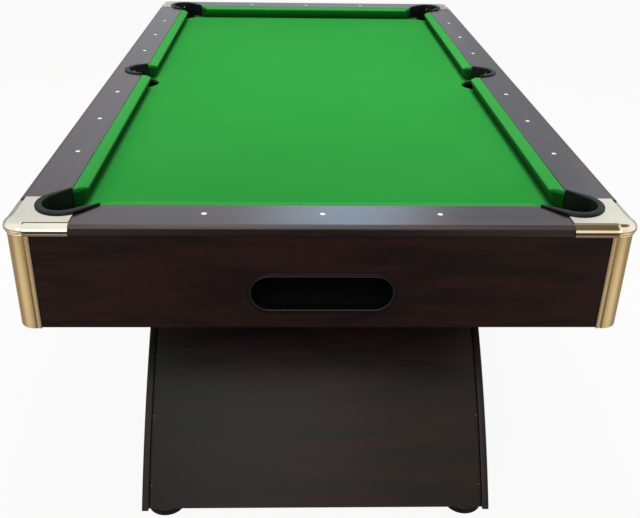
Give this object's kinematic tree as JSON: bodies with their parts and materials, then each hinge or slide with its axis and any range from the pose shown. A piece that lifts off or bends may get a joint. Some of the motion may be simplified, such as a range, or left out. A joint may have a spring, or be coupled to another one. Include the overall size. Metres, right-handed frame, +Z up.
{
  "type": "billiard table",
  "caption": "Pool table with cloth-covered bed and cushions, drop pockets with a gravity ball return to a front slot, gold corner caps and arched pedestals on levelling feet.",
  "frame": {"origin": "on the floor under the middle of the table", "axes": "+Y along the table away from the ball-return end, +X across it to the right of someone facing that end, +Z up"},
  "size_m": [1.221, 2.151, 0.8068],
  "materials": {
    "mahogany_laminate": "semi-gloss dark red-brown laminate",
    "dark_leg_laminate": "satin near-black laminate",
    "raw_fibreboard": "unfinished board",
    "green_cloth": "napped cloth",
    "cushion_cloth": "rubber wrapped in napped cloth",
    "polished_pale_gold": "polished, pale gold",
    "satin_gold": "satin, gold",
    "black_plastic": "satin moulded",
    "grey_plastic": "moulded"
  },
  "bodies": {
    "table": {"front_rail": "mahogany_laminate", "rear_rail": "mahogany_laminate", "left_rail": "mahogany_laminate", "right_rail": "mahogany_laminate", "front_cushion": "cushion_cloth", "rear_cushion": "cushion_cloth", "left_front_cushion": "cushion_cloth", "left_rear_cushion": "cushion_cloth", "right_front_cushion": "cushion_cloth", "right_rear_cushion": "cushion_cloth", "bed": "raw_fibreboard", "bed_cloth": "green_cloth", "pocket_liner_front_left": "black_plastic", "pocket_liner_front_right": "black_plastic", "pocket_liner_rear_left": "black_plastic", "pocket_liner_rear_right": "black_plastic", "pocket_liner_left": "black_plastic", "pocket_liner_right": "black_plastic", "corner_cap_front_left": "polished_pale_gold", "corner_cap_front_right": "polished_pale_gold", "corner_cap_rear_left": "polished_pale_gold", "corner_cap_rear_right": "polished_pale_gold", "corner_trim_front_left": "satin_gold", "corner_trim_front_right": "satin_gold", "corner_trim_rear_left": "satin_gold", "corner_trim_rear_right": "satin_gold", "front_apron": "mahogany_laminate", "rear_apron": "mahogany_laminate", "left_apron": "mahogany_laminate", "right_apron": "mahogany_laminate", "return_bezel": "black_plastic", "ball_tray": "black_plastic", "left_gully": "grey_plastic", "right_gully": "grey_plastic", "front_beam_1": "raw_fibreboard", "front_beam_2": "raw_fibreboard", "front_beam_3": "raw_fibreboard", "rear_beam_1": "raw_fibreboard", "rear_beam_2": "raw_fibreboard", "rear_beam_3": "raw_fibreboard", "front_leg_left_panel": "dark_leg_laminate", "front_leg_right_panel": "dark_leg_laminate", "front_leg_outer_panel": "dark_leg_laminate", "front_leg_inner_panel": "dark_leg_laminate", "front_leg_top_plate": "raw_fibreboard", "front_leg_base_plate": "raw_fibreboard", "rear_leg_left_panel": "dark_leg_laminate", "rear_leg_right_panel": "dark_leg_laminate", "rear_leg_outer_panel": "dark_leg_laminate", "rear_leg_inner_panel": "dark_leg_laminate", "rear_leg_top_plate": "raw_fibreboard", "rear_leg_base_plate": "raw_fibreboard"},
    "foot_front_left": {"foot_front_left": "black_plastic"},
    "foot_front_right": {"foot_front_right": "black_plastic"},
    "foot_rear_left": {"foot_rear_left": "black_plastic"},
    "foot_rear_right": {"foot_rear_right": "black_plastic"}
  },
  "joints": [
    {"name": "foot_front_left_height", "type": "slide", "parent": "table", "child": "foot_front_left", "axis": [0, 0, -1], "range_m": [0, 0.02]},
    {"name": "foot_front_right_height", "type": "slide", "parent": "table", "child": "foot_front_right", "axis": [0, 0, -1], "range_m": [0, 0.02]},
    {"name": "foot_rear_left_height", "type": "slide", "parent": "table", "child": "foot_rear_left", "axis": [0, 0, -1], "range_m": [0, 0.02]},
    {"name": "foot_rear_right_height", "type": "slide", "parent": "table", "child": "foot_rear_right", "axis": [0, 0, -1], "range_m": [0, 0.02]}
  ]
}
